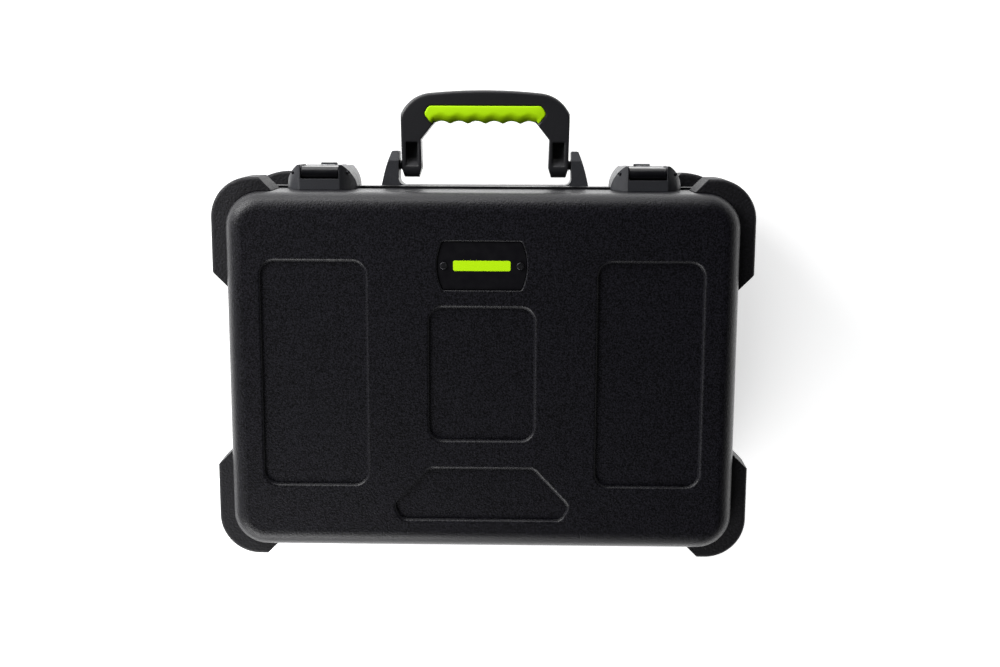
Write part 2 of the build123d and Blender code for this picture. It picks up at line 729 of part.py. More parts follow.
half_thickness = handle_thickness / 2
with BuildPart() as handle_frame:
    with BuildSketch(handle_plane(-half_thickness)):
        add(handle_outline(0.0))
    extrude(amount=handle_thickness)
    foot_edges = handle_frame.edges().group_by(Axis.Y)[-1].filter_by(Axis.X)
    fillet(foot_edges, radius=leg_foot_round)
    crown_edges = handle_frame.edges().filter_by(GeomType.CIRCLE).filter_by(
        lambda edge: edge.center().Y < handle_y - shoulder_reach)
    fillet(crown_edges, radius=crown_round)
    # the grip's cheeks lie in shallow pockets, front and back
    for side in (-1, 1):
        with BuildSketch(handle_plane(side * (half_thickness - grip_sink))):
            add(grip_outline(grip_gap))
        extrude(amount=side * 2 * grip_sink, mode=Mode.SUBTRACT)
    # windows in both faces of each leg, with a ramp below
    for side in (-1, 1):
        window_x = side * (handle_width / 2 - (leg_width + window_width) / 2)
        for face in (-1, 1):
            with BuildSketch(facing_side(window_x - (window_width if side < 0 else 0.0))):
                outside = handle_z + face * half_thickness
                Polygon((handle_y - window_high, outside),
                        (handle_y - window_high, outside - face * window_depth),
                        (handle_y - window_low, outside - face * window_depth),
                        (handle_y - window_low + window_ramp, outside), align=None)
            extrude(amount=window_width, mode=Mode.SUBTRACT)
    with BuildSketch(facing_side(0)):
        with Locations((handle_y, handle_z)):
            Circle(pin_radius + running_gap)
    extrude(amount=handle_width, both=True, mode=Mode.SUBTRACT)
handle_frame.part.label = "handle_frame"
export_step(handle_frame.part, "parts/handle_frame.step")

with BuildPart() as handle_grip:
    with BuildSketch(handle_plane(-half_thickness - grip_proud)):
        add(grip_outline(0.0))
    extrude(amount=handle_thickness + 2 * grip_proud)
    with BuildSketch(handle_plane(grip_sink - half_thickness - grip_gap)):
        add(handle_outline(grip_gap))
    extrude(amount=handle_thickness - 2 * grip_sink + 2 * grip_gap, mode=Mode.SUBTRACT)
handle_grip.part.label = "handle_grip"
export_step(handle_grip.part, "parts/handle_grip.step")


# ---------------------------------------------------------------- latches
def latch_section(centre, top):
    """A latch seen along Z: rounded sides up to a flat top, on the latch side wall."""
    half = latch_width / 2
    ear = latch_channel_width / 2 + latch_ear
    with BuildSketch(mode=Mode.PRIVATE) as section:
        with BuildLine():
            Polyline((centre - ear, wall_y - latch_height), (centre + ear, wall_y - latch_height))
            ThreePointArc((centre + ear, wall_y - latch_height),
                          (centre + latch_mid_out, wall_y - latch_mid_height),
                          (centre + half, wall_y))
            Polyline((centre + half, wall_y), (centre + half, wall_y + wall),
                     (centre - half, wall_y + wall), (centre - half, wall_y))
            ThreePointArc((centre - half, wall_y),
                          (centre - latch_mid_out, wall_y - latch_mid_height),
                          (centre - ear, wall_y - latch_height))
        make_face()
        with Locations((centre, wall_y - top)):
            Rectangle(latch_width, latch_height, align=(Align.CENTER, Align.MAX), mode=Mode.SUBTRACT)
    return section.sketch


def channel_box(centre, low, high, floor, width):
    """A box that opens a latch outwards, from a floor above the wall."""
    with BuildPart() as box:
        with BuildSketch(facing_up(low)):
            with Locations((centre, wall_y - floor)):
                Rectangle(width, latch_height, align=(Align.CENTER, Align.MAX))
        extrude(amount=high - low)
    return box.part


def outward(centre, height, distance):
    """A sketch plane that faces out of the latch side wall."""
    return Plane(origin=(centre, wall_y - distance, height), x_dir=(1, 0, 0), z_dir=(0, -1, 0))


def latch_plan(centre, length, far_end, direction):
    """A block as long as a latch's half. Seen from outside, its far corners curve back."""
    half = latch_width / 2
    flat = latch_channel_width / 2 + latch_flat_margin
    with BuildPart() as plan:
        with BuildSketch(outward(centre, far_end, -wall)):
            with BuildLine():
                Polyline((0, 0), (flat, 0))
                ThreePointArc((flat, 0), (half - latch_sweep_in, -direction * latch_sweep_back),
                              (half, -direction * latch_sweep))
                Polyline((half, -direction * latch_sweep), (half, -direction * length),
                         (0, -direction * length))
                mirror(about=Plane.YZ)
            make_face()
        extrude(amount=latch_height + wall)
    return plan.part


for side, name in ((-1, "left"), (1, "right")):
    # seen from the front with the lid's face to the viewer and the handle on top, left is at +X
    centre = -side * latch_x
    barrel_width = latch_channel_width - 2 * hasp_side_gap

    with BuildPart() as hinge_block:
        with BuildSketch(facing_up(lid_rim_bottom)):
            add(latch_section(centre, latch_height))
        extrude(amount=latch_lid_length - parting_gap / 2)
        add(latch_plan(centre, latch_lid_length, base_height + latch_lid_length, 1),
            mode=Mode.INTERSECT)
        add(channel_box(centre, lid_rim_bottom, base_height + latch_lid_length, latch_channel_floor,
                        latch_channel_width), mode=Mode.SUBTRACT)
        with BuildSketch(facing_side(centre)):
            with Locations((hasp_axis_y, hasp_axis_z)):
                Circle(hasp_pin_radius + running_gap)
        extrude(amount=latch_width, both=True, mode=Mode.SUBTRACT)
        add(lid_seat, mode=Mode.SUBTRACT)
        add(rim_seat, mode=Mode.SUBTRACT)
        add(rivet_holes(latch_rivets_lid), mode=Mode.SUBTRACT)
    hinge_block.part.label = f"latch_hinge_block_{name}"
    export_step(hinge_block.part, f"parts/latch_hinge_block_{name}.step")

    with BuildPart() as hasp_pin:
        with BuildSketch(facing_side(centre)):
            with Locations((hasp_axis_y, hasp_axis_z)):
                Circle(hasp_pin_radius)
        extrude(amount=hasp_pin_length / 2, both=True)
    hasp_pin.part.label = f"hasp_pin_{name}"
    export_step(hasp_pin.part, f"parts/hasp_pin_{name}.step")

    with BuildPart() as hasp:
        top_y = hasp_axis_y - barrel_radius
        under_y = top_y + hasp_thickness
        tip_z = hasp_axis_z - hasp_reach
        with BuildSketch(facing_side(centre)):
            with Locations((hasp_axis_y, hasp_axis_z)):
                Circle(barrel_radius)
            Polygon((top_y, hasp_axis_z), (top_y, tip_z), (top_y + hasp_lip_depth, tip_z),
                    (top_y + hasp_lip_depth, tip_z + hasp_lip), (under_y, tip_z + hasp_lip),
                    (under_y, hasp_axis_z), align=None)
        extrude(amount=barrel_width / 2, both=True)
        tip_edges = hasp.edges().group_by(Axis.Z)[0].filter_by(Axis.X).sort_by(Axis.Y)[0]
        fillet(tip_edges, radius=hasp_tip_round)
        with BuildSketch(facing_side(centre)):
            with Locations((hasp_axis_y, hasp_axis_z)):
                Circle(hasp_pin_radius + running_gap)
        extrude(amount=latch_width, both=True, mode=Mode.SUBTRACT)
    hasp.part.label = f"hasp_{name}"
    export_step(hasp.part, f"parts/hasp_{name}.step")

    lock_z = base_height - lock_drop
    body_end = base_height - latch_base_length
    slot_low = body_end + slider_end
    slot_high = slot_low + slider_length + slider_travel + 2 * slider_gap
    slider_floor = latch_top + slider_proud - slider_height
    with BuildPart() as lock_body:
        with BuildSketch(facing_up(body_end)):
            add(latch_section(centre, latch_top))
        extrude(amount=base_rim_top - body_end)
        add(latch_plan(centre, latch_base_length, body_end, -1), mode=Mode.INTERSECT)
        with BuildSketch(outward(centre, lock_z, latch_top - lock_collar_sunk)):
            Circle(lock_collar_radius)
        extrude(amount=lock_collar_sunk + lock_collar_proud)
        add(channel_box(centre, hasp_axis_z - hasp_reach - hasp_end_gap, base_rim_top,
                        latch_channel_floor, latch_channel_width), mode=Mode.SUBTRACT)
        with BuildSketch(outward(centre, lock_z, latch_top + lock_proud - lock_length)):
            Circle(lock_radius + running_gap)
        extrude(amount=lock_length, mode=Mode.SUBTRACT)
        add(channel_box(centre, slot_low, slot_high, slider_floor - slider_gap,
                        slider_width + 2 * slider_gap), mode=Mode.SUBTRACT)
        add(base_seat, mode=Mode.SUBTRACT)
        add(rim_seat, mode=Mode.SUBTRACT)
        add(rivet_holes(latch_rivets_base), mode=Mode.SUBTRACT)
    lock_body.part.label = f"lock_body_{name}"
    export_step(lock_body.part, f"parts/lock_body_{name}.step")

    with BuildPart() as lock_cylinder:
        with BuildSketch(outward(centre, lock_z, latch_top + lock_proud - lock_length)):
            Circle(lock_radius)
        extrude(amount=lock_length)
        fillet(lock_cylinder.faces().sort_by(Axis.Y)[0].edges(), radius=lock_round)
        with BuildSketch(outward(centre, lock_z, latch_top + lock_proud)):
            Rectangle(key_slot_width, key_slot_length)
        extrude(amount=-key_slot_depth, mode=Mode.SUBTRACT)
    lock_cylinder.part.label = f"lock_cylinder_{name}"
    export_step(lock_cylinder.part, f"parts/lock_cylinder_{name}.step")

    with BuildPart() as release_slider:
        slider_z = slot_high - slider_gap - slider_length / 2
        with BuildSketch(outward(centre, slider_z, slider_floor)):
            Rectangle(slider_width, slider_length)
        extrude(amount=slider_height)
        fillet(release_slider.faces().sort_by(Axis.Y)[0].edges(), radius=slider_round)
    release_slider.part.label = f"release_slider_{name}"
    export_step(release_slider.part, f"parts/release_slider_{name}.step")


# ---------------------------------------------------------------- hinges
def hinge_leaf(centre, direction, knuckles, seat):
    """A leaf outside the hinge wall, stepping over the rim to its knuckles on the axis."""
    bridge_y = hinge_wall_y + rim_proud + 2 * rim_cut
    with BuildPart() as leaf:
        with BuildSketch(facing_side(centre)):
            with Locations((hinge_y, base_height)):
                Circle(knuckle_radius)
            top = base_height + direction * leaf_height
            step = base_height + direction * (rim_height + parting_gap)
            Polygon((hinge_wall_y - wall / 2, top), (hinge_wall_y + leaf_thickness, top),
                    (bridge_y + leaf_thickness, step + direction * leaf_ramp),
                    (bridge_y + leaf_thickness, base_height), (bridge_y, base_height),
                    (bridge_y, step), (hinge_wall_y - wall / 2, step), align=None)
        extrude(amount=hinge_width / 2, both=True)
        # leave only this leaf's knuckles near the axis
        third = hinge_width / 3
        for index in range(3):
            if index in knuckles:
                continue
            wide = third + 2 * knuckle_gap if index == 1 else third + knuckle_gap
            start = centre + (index - 1) * third - third / 2
            low = start - (0.0 if index == 0 else knuckle_gap)
            with BuildSketch(facing_side(low)):
                with Locations((hinge_y, base_height)):
                    Rectangle(4 * knuckle_radius, 2 * (knuckle_radius + knuckle_gap))
            extrude(amount=wide, mode=Mode.SUBTRACT)
        with BuildSketch(facing_side(centre)):
            with Locations((hinge_y, base_height)):
                Circle(hinge_pin_radius + running_gap)
        extrude(amount=hinge_width, both=True, mode=Mode.SUBTRACT)
        add(seat, mode=Mode.SUBTRACT)
        add(rim_seat, mode=Mode.SUBTRACT)
    return leaf.part


for side, name in ((-1, "left"), (1, "right")):
    centre = -side * hinge_x
    with BuildPart() as base_leaf:
        add(hinge_leaf(centre, -1, (0, 2), base_seat))
        add(rivet_holes(hinge_rivets_base), mode=Mode.SUBTRACT)
    base_leaf.part.label = f"hinge_leaf_base_{name}"
    export_step(base_leaf.part, f"parts/hinge_leaf_base_{name}.step")

    with BuildPart() as lid_leaf:
        add(hinge_leaf(centre, 1, (1,), lid_seat))
        add(rivet_holes(hinge_rivets_lid), mode=Mode.SUBTRACT)
    lid_leaf.part.label = f"hinge_leaf_lid_{name}"
    export_step(lid_leaf.part, f"parts/hinge_leaf_lid_{name}.step")

with BuildPart() as hinge_pins:
    for centre in (-hinge_x, hinge_x):
        with BuildSketch(facing_side(centre)):
            with Locations((hinge_y, base_height)):
                Circle(hinge_pin_radius)
        extrude(amount=hinge_width / 2, both=True)
hinge_pins.part.label = "hinge_pins"
export_step(hinge_pins.part, "parts/hinge_pins.step")

# ---------------------------------------------------------------- rivets
leaf_grip = leaf_thickness - seat_gap
rivet_groups = {
    "latch_rivets_lid": rivet_set(latch_rivets_lid, lid_mouth),
    "latch_rivets_base": rivet_set(latch_rivets_base, base_mouth),
    "hinge_rivets_lid": rivet_set(hinge_rivets_lid, lid_mouth, reach=leaf_grip),
    "hinge_rivets_base": rivet_set(hinge_rivets_base, base_mouth, reach=leaf_grip),
    "bracket_rivets": rivet_set(bracket_rivets, base_mouth, seat=backing_face),
}
for name, rivets in rivet_groups.items():
    rivets.label = name
    export_step(rivets, f"parts/{name}.step")


# ---------------------------------------------------------------- foam
def foam_slab(low, high, y_low, y_high):
    """A layer of the base's cavity between two heights and two distances, clear of the walls."""
    with BuildPart() as slab:
        add(base_block(grow=-wall - foam_gap, edge_radius=inner_edge_radius))
        with BuildSketch(facing_up(low)):
            with Locations((0, (y_low + y_high) / 2)):
                Rectangle(case_width, y_high - y_low)
        extrude(amount=high - low, mode=Mode.INTERSECT)
    return slab.part


foam_front = wall_y + wall + foam_gap
foam_back = -foam_front
with BuildPart() as base_pad:
    add(base_block(grow=-wall - floor_gap, edge_radius=inner_edge_radius))
    with BuildSketch(facing_up(0)):
        Rectangle(case_width, case_depth)
    extrude(amount=wall + floor_gap + pad_thickness, mode=Mode.INTERSECT)
base_pad.part.label = "base_pad"
export_step(base_pad.part, "parts/base_pad.step")

for row in range(drop_rows):
    row_low = foam_front + row * row_pitch
    low_gap = foam_joint / 2 if row else 0.0
    with BuildPart() as foam_row:
        add(foam_slab(foam_floor, foam_top, row_low + low_gap, row_low + row_pitch - foam_joint / 2))
        with BuildSketch(facing_up(foam_floor)):
            with Locations((0, row_low + row_pitch / 2)):
                with GridLocations(column_pitch, row_pitch, drop_columns, 1):
                    Circle(drop_diameter / 2)
        extrude(amount=foam_top, mode=Mode.SUBTRACT)
    foam_row.part.label = f"foam_row_{row + 1}"
    export_step(foam_row.part, f"parts/foam_row_{row + 1}.step")

bay_start = foam_front + drop_rows * row_pitch
bay_depth = foam_back - bay_start - 2 * bay_wall
bay_width = case_width - 2 * (wall + foam_gap + bay_end) - bay_partition
with BuildPart() as foam_bay:
    add(foam_slab(foam_floor, foam_top, bay_start + foam_joint / 2, foam_back))
    with BuildSketch(facing_up(foam_floor)):
        with Locations((0, bay_start + bay_wall + bay_depth / 2)):
            with GridLocations(bay_width / 2 + bay_partition, bay_depth, 2, 1):
                RectangleRounded(bay_width / 2, bay_depth, bay_corner)
    extrude(amount=foam_top, mode=Mode.SUBTRACT)
foam_bay.part.label = "foam_bay"
export_step(foam_bay.part, "parts/foam_bay.step")

with BuildPart() as lid_foam:
    add(lid_block(grow=-wall - floor_gap, edge_radius=inner_edge_radius))
    with BuildSketch(facing_up(case_top - wall - floor_gap - lid_foam_thickness)):
        Rectangle(case_width, case_depth)
    extrude(amount=lid_foam_thickness + wall, mode=Mode.INTERSECT)
lid_foam.part.label = "lid_foam"
export_step(lid_foam.part, "parts/lid_foam.step")
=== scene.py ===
import json
import math
import bmesh
import bpy
from mathutils import Matrix, Vector, noise


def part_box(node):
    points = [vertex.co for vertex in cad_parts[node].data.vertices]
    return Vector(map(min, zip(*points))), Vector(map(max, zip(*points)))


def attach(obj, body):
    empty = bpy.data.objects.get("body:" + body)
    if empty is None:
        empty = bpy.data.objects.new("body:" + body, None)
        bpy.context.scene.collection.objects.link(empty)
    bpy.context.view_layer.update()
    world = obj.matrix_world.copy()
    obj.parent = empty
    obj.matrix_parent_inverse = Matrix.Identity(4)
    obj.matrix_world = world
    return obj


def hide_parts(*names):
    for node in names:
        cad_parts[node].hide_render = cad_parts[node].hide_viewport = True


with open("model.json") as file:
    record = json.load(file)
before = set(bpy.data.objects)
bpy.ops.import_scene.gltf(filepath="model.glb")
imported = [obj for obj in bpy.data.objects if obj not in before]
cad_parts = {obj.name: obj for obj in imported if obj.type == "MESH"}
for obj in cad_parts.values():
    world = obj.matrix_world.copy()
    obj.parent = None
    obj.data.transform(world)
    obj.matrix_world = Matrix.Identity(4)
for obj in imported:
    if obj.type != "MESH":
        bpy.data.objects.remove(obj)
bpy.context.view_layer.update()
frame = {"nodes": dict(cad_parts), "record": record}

nodes = frame["nodes"]
MM = 0.001


# ---------------------------------------------------------------- material tools
NOISE_LOW = 0.3             # noise lies mostly between these two values
NOISE_HIGH = 0.7
EDGE_SAMPLES = 6            # rays that look for an edge to round


class Shader:
    """A node material with one Principled shader, and short calls for what feeds it."""

    def __init__(self, name, roughness, metallic=0.0, specular=0.5):
        self.material = bpy.data.materials.new(name)
        self.material.use_nodes = True
        self.tree = self.material.node_tree
        self.shader = self.tree.nodes["Principled BSDF"]
        self.shader.inputs["Roughness"].default_value = roughness
        self.shader.inputs["Metallic"].default_value = metallic
        self.shader.inputs["Specular IOR Level"].default_value = specular
        self.place = self.tree.nodes.new("ShaderNodeTexCoord").outputs["Object"]

    def link(self, source, target):
        """A link from a node's output to an input."""
        self.tree.links.new(source, target)

    def feed(self, socket, source):
        """A link from a node's output to an input of the Principled shader."""
        self.link(source, self.shader.inputs[socket])

    def stretched(self, scale):
        """Object coordinates, stretched by a scale for each axis."""
        mapping = self.tree.nodes.new("ShaderNodeMapping")
        mapping.inputs["Scale"].default_value = scale
        self.link(self.place, mapping.inputs["Vector"])
        return mapping.outputs["Vector"]

    def noise(self, cell, detail=3.0, place=None):
        """Noise whose features are about a cell wide, in metres."""
        node = self.tree.nodes.new("ShaderNodeTexNoise")
        node.inputs["Scale"].default_value = 1.0 / cell
        node.inputs["Detail"].default_value = detail
        self.link(place or self.place, node.inputs["Vector"])
        return node.outputs["Fac"]

    def cells(self, cell):
        """Rounded cells, as in a leather grain, about a cell wide in metres."""
        node = self.tree.nodes.new("ShaderNodeTexVoronoi")
        node.feature = "SMOOTH_F1"
        node.inputs["Scale"].default_value = 1.0 / cell
        self.link(self.place, node.inputs["Vector"])
        return node.outputs["Distance"]

    def ramp(self, value, low, high, start=NOISE_LOW, end=NOISE_HIGH):
        """A colour between two, as a value goes from a start to an end."""
        node = self.tree.nodes.new("ShaderNodeValToRGB")
        node.color_ramp.elements[0].position = start
        node.color_ramp.elements[1].position = end
        node.color_ramp.elements[0].color = (*low, 1.0)
        node.color_ramp.elements[1].color = (*high, 1.0)
        self.link(value, node.inputs["Fac"])
        return node.outputs["Color"]

    def blend(self, first, second, share):
        """Two values mixed, with a share for the second."""
        node = self.tree.nodes.new("ShaderNodeMix")
        node.inputs["Factor"].default_value = share
        self.link(first, node.inputs["A"])
        self.link(second, node.inputs["B"])
        return node.outputs["Result"]

    def spread(self, value, low, high):
        """Noise turned into values from low to high."""
        node = self.tree.nodes.new("ShaderNodeMapRange")
        node.inputs["From Min"].default_value = NOISE_LOW
        node.inputs["From Max"].default_value = NOISE_HIGH
        node.inputs["To Min"].default_value = low
        node.inputs["To Max"].default_value = high
        self.link(value, node.inputs["Value"])
        return node.outputs["Result"]

    def bump(self, height, depth, normal=None):
        """Relief of a depth in metres."""
        node = self.tree.nodes.new("ShaderNodeBump")
        node.inputs["Distance"].default_value = depth
        self.link(height, node.inputs["Height"])
        if normal:
            self.link(normal, node.inputs["Normal"])
        return node.outputs["Normal"]

    def rounded(self, radius):
        """The normal with each sharp edge rounded."""
        node = self.tree.nodes.new("ShaderNodeBevel")
        node.samples = EDGE_SAMPLES
        node.inputs["Radius"].default_value = radius
        return node.outputs["Normal"]


def times(colour, factor):
    """A colour made lighter or darker."""
    return tuple(channel * factor for channel in colour)


CLOUD_CELL = 45 * MM        # faint clouding of every moulded face
GRAIN_DETAIL = 2.0
MOTTLE_START = 0.38
MOTTLE_END = 0.62
GRAIN_GLOSS = 0.08          # how far the roughness of a grained face goes up and down
GRAIN_CELLS = 0.6           # depth of the grain's cells, as a share of its fine relief
SMOOTH_CELL = 9 * MM        # patches of more and less gloss on a face without grain
SMOOTH_GLOSS = 0.04
RIPPLE_CELL = 1.5 * MM
RIPPLE_DEPTH = 0.01 * MM


def moulded(name, colour, roughness, grain=None, depth=0.0, edge=0.4 * MM, tone=0.06,
            speckle=0.0, specular=0.5):
    """Moulded plastic: faint clouding, patchy gloss, and a grain of cells where it is textured."""
    shade = Shader(name, roughness, specular=specular)
    low = times(colour, 1 - tone - speckle)
    high = times(colour, 1 + tone + speckle)
    clouds = shade.noise(CLOUD_CELL)
    if grain:
        fine = shade.noise(grain, detail=GRAIN_DETAIL)
        mottle = shade.blend(clouds, fine, speckle / (tone + speckle))
        shade.feed("Base Color", shade.ramp(mottle, low, high, MOTTLE_START, MOTTLE_END))
        shade.feed("Roughness", shade.spread(fine, roughness - GRAIN_GLOSS,
                                             roughness + GRAIN_GLOSS))
        normal = shade.bump(shade.cells(grain), depth * GRAIN_CELLS, shade.rounded(edge))
        normal = shade.bump(fine, depth, normal)
    else:
        shade.feed("Base Color", shade.ramp(clouds, low, high))
        shade.feed("Roughness", shade.spread(shade.noise(SMOOTH_CELL), roughness - SMOOTH_GLOSS,
                                             roughness + SMOOTH_GLOSS))
        normal = shade.bump(shade.noise(RIPPLE_CELL), RIPPLE_DEPTH, shade.rounded(edge))
    shade.feed("Normal", normal)
    return shade.material


METAL_CELL = 1.2 * MM
METAL_SHADE = 0.8           # how dark the grain's low spots are
METAL_GLOSSIER = 0.06
METAL_DULLER = 0.08
METAL_DEPTH = 0.015 * MM
METAL_EDGE = 0.25 * MM


def metal(name, colour, roughness, brushed=(1, 1, 1)):
    """Metal with a faint brushed or cast grain."""
    shade = Shader(name, roughness, metallic=1.0)
    grain = shade.noise(METAL_CELL, place=shade.stretched(brushed))
    shade.feed("Base Color", shade.ramp(grain, times(colour, METAL_SHADE), colour))
    shade.feed("Roughness", shade.spread(grain, roughness - METAL_GLOSSIER,
                                         roughness + METAL_DULLER))
    shade.feed("Normal", shade.bump(grain, METAL_DEPTH, shade.rounded(METAL_EDGE)))
    return shade.material


FOAM_ROUGHNESS = 0.95
FOAM_SPECULAR = 0.15
FOAM_SHEEN = 0.25
PORE_CELL = 1.1 * MM
PORE_DEPTH = 0.35 * MM
PORE_PAINTED_SHADE = 0.35           # painted shade: how dark the pores' hollows are drawn
PORE_START = 0.1
PORE_END = 0.55
SWELL_CELL = 12 * MM        # the slight unevenness of a cut foam face
SWELL_DEPTH = 0.4 * MM


def foam_material(name, colour):
    """Open-cell foam: painted shade in its pores, in a matte, slightly fuzzy surface."""
    shade = Shader(name, FOAM_ROUGHNESS, specular=FOAM_SPECULAR)
    shade.shader.inputs["Sheen Weight"].default_value = FOAM_SHEEN
    # the pores are drawn darker as painted shade in the same pits that the bump sinks
    pores = shade.cells(PORE_CELL)
    shade.feed("Base Color", shade.ramp(pores, times(colour, PORE_PAINTED_SHADE), colour,
                                        PORE_START, PORE_END))
    normal = shade.bump(pores, PORE_DEPTH)
    shade.feed("Normal", shade.bump(shade.noise(SWELL_CELL), SWELL_DEPTH, normal))
    return shade.material


materials = {
    "shell": moulded("shell_grain", (0.0026, 0.0024, 0.0044), 0.42, grain=1.4 * MM,
                     depth=0.20 * MM, edge=1.0 * MM, speckle=0.66, specular=0.30),
    "bumper": moulded("bumper_grain", (0.0034, 0.0032, 0.0050), 0.62, grain=1.7 * MM,
                      depth=0.40 * MM, edge=1.4 * MM, speckle=0.72, specular=0.30),
    "rim": moulded("rim_satin", (0.004, 0.004, 0.005), 0.40, specular=0.35),
    "gasket": moulded("gasket_rubber", (0.010, 0.010, 0.010), 0.75),
    "plate": moulded("plate_smooth", (0.0030, 0.0028, 0.0040), 0.36, specular=0.30),
    "steel": metal("blackened_steel", (0.05, 0.05, 0.055), 0.42),
    "hardware": moulded("hardware_spark", (0.0250, 0.0258, 0.0300), 0.46, grain=0.8 * MM,
                        depth=0.04 * MM, edge=0.5 * MM, speckle=0.15, specular=0.42),
    "barrel": moulded("barrel_gloss", (0.0045, 0.0045, 0.0060), 0.32, edge=0.3 * MM,
                      specular=0.35),
    "handle": moulded("handle_satin", (0.0130, 0.0130, 0.0150), 0.40, grain=0.9 * MM,
                      depth=0.05 * MM, edge=2.6 * MM, speckle=0.12, specular=0.40),
    "grip": moulded("grip_rubber", (0.43, 0.76, 0.001), 0.50, grain=0.6 * MM, depth=0.02 * MM,
                    tone=0.02, speckle=0.02, specular=0.16),
    "lock": metal("dark_nickel", (0.22, 0.22, 0.23), 0.30, brushed=(1, 1, 8)),
    "hinge": moulded("hinge_powder_coat", (0.006, 0.006, 0.007), 0.5, grain=0.6 * MM,
                     depth=0.04 * MM, speckle=0.2),
    "foam": foam_material("open_cell_foam", (0.030, 0.030, 0.034)),
}

# ---------------------------------------------------------------- finishes on the CAD nodes
# Each node takes its slot's finish, apart from the bumpers and the barrels of the latches.
for subpart in frame["record"]["subparts"]:
    carried = nodes[subpart["node"]]
    finish = subpart["material_slot"]
    if "bumper" in subpart["node"]:
        finish = "bumper"
    elif subpart["node"] in ("hasp_left", "hasp_right"):
        finish = "barrel"
    carried.data.materials.clear()
    carried.data.materials.append(materials[finish])


# ---------------------------------------------------------------- tools for new pieces
def placed(name, data):
    """A new object in the scene."""
    piece = bpy.data.objects.new(name, data)
    bpy.context.scene.collection.objects.link(piece)
    return piece


def added(piece, body, slot):
    """A new piece: finished from a slot, and riding on a body."""
    piece.data.materials.clear()
    piece.data.materials.append(materials[slot])
    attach(piece, body)
    return piece


def softened(name, node, cell, rounds):
    """A copy of a node's mesh in even cells, with its edges and corners worn round."""
    piece = placed(name, nodes[node].data.copy())
    remesh = piece.modifiers.new("cells", "REMESH")
    remesh.mode = "VOXEL"
    remesh.voxel_size = cell
    smooth = piece.modifiers.new("worn", "SMOOTH")
    smooth.factor = 0.5
    smooth.iterations = rounds
    shaped = piece.evaluated_get(bpy.context.evaluated_depsgraph_get())
    piece.data = bpy.data.meshes.new_from_object(shaped)
    piece.modifiers.clear()
    piece.data.shade_smooth()
    return piece


def lofted(name, rings, move):
    """A closed piece through rings of points, moved by a matrix."""
    shape = bmesh.new()
    rings = [[shape.verts.new(point) for point in ring] for ring in rings]
    for below, above in zip(rings, rings[1:]):
        for i in range(len(below)):
            j = (i + 1) % len(below)
            shape.faces.new((below[i], below[j], above[j], above[i]))
    shape.faces.new(rings[-1])
    shape.faces.new(rings[0][::-1])
    shape.transform(move)
    mesh = bpy.data.meshes.new(name)
    shape.to_mesh(mesh)
    shape.free()
    return placed(name, mesh)


LATHE_STEPS = 32


def lathe(name, profile, place, outward):
    """A round piece turned about a direction from (radius, height) points."""
    turned = Vector(outward).to_track_quat("Z", "Y").to_matrix().to_4x4()
    rings = [[(radius * math.cos(math.tau * i / LATHE_STEPS),
               radius * math.sin(math.tau * i / LATHE_STEPS), height)
              for i in range(LATHE_STEPS)]
             for radius, height in profile]
    piece = lofted(name, rings, Matrix.Translation(place) @ turned)
    piece.data.shade_smooth()
    return piece


def clamped(value):
    """A value held between 0 and 1."""
    return min(1.0, max(0.0, value))


# ---------------------------------------------------------------- soft and detailed pieces
# the grip, crowned in the handle's bar and turned under where the fingers lie
GRIP_CELL = 0.6 * MM
GRIP_ROUNDS = 14
GRIP_CROWN = 0.9 * MM
GRIP_ROUND_FROM = 0.30      # of its height, where its cheeks start to turn under
GRIP_ROUND_TO = 0.20        # of its thickness, left at its lower edge
FINGER_PITCH = 16.3 * MM
FINGER_SWELL = 0.16         # how much further the ridges between the fingers carry the cheeks
GRIP_END = 0.10             # of its half length, over which the turning under fades in
grip = softened("grip_soft", "handle_grip", GRIP_CELL, GRIP_ROUNDS)
grip_low, grip_high = (Vector(corner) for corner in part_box("handle_grip"))
grip_middle = (grip_low + grip_high) / 2
grip_half = (grip_high - grip_low) / 2
for vertex in grip.data.vertices:
    along = (vertex.co.x - grip_middle.x) / grip_half.x
    down = (vertex.co.y - grip_low.y) / (grip_high.y - grip_low.y)
    cheek = (vertex.co.z - grip_middle.z) / grip_half.z
    ridge = 0.5 + 0.5 * math.cos(math.tau * (vertex.co.x - grip_middle.x) / FINGER_PITCH)
    start = GRIP_ROUND_FROM + FINGER_SWELL * ridge
    fade = clamped((1.0 - abs(along)) / GRIP_END - 0.5)
    turned = clamped((down - start) / (1.0 - start)) * fade
    crown = max(0.0, 1.0 - (2 * down - 1) ** 2) * max(0.0, 1.0 - along ** 6)
    vertex.co.z += GRIP_CROWN * crown * cheek
    shrink = 1.0 - math.sqrt(1.0 - turned ** 2 * (1.0 - GRIP_ROUND_TO ** 2))
    vertex.co.z -= (vertex.co.z - grip_middle.z) * shrink
added(grip, "handle", "grip")
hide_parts("handle_grip")

# the foam in the base, its top a little sunk and uneven
FOAM_CELL = 2.4 * MM
PAD_CELL = 1.6 * MM         # the pad is thin
FOAM_ROUNDS = 5
FOAM_SKIN = 1.5 * MM        # vertices this close to the top belong to it
FOAM_SUNK = 0.4 * MM
FOAM_UNEVEN = 0.4 * MM
FOAM_WAVE = 14 * MM         # how wide its uneven patches are
for node in ("base_pad", "foam_row_1", "foam_row_2", "foam_row_3", "foam_bay"):
    foam = softened(node + "_soft", node, FOAM_CELL if node != "base_pad" else PAD_CELL,
                    FOAM_ROUNDS)
    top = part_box(node)[1][2]
    for vertex in foam.data.vertices:
        if vertex.co.z > top - FOAM_SKIN:
            vertex.co.z -= FOAM_SUNK + FOAM_UNEVEN * noise.noise(vertex.co / FOAM_WAVE)
    added(foam, "base", "foam")
    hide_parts(node)

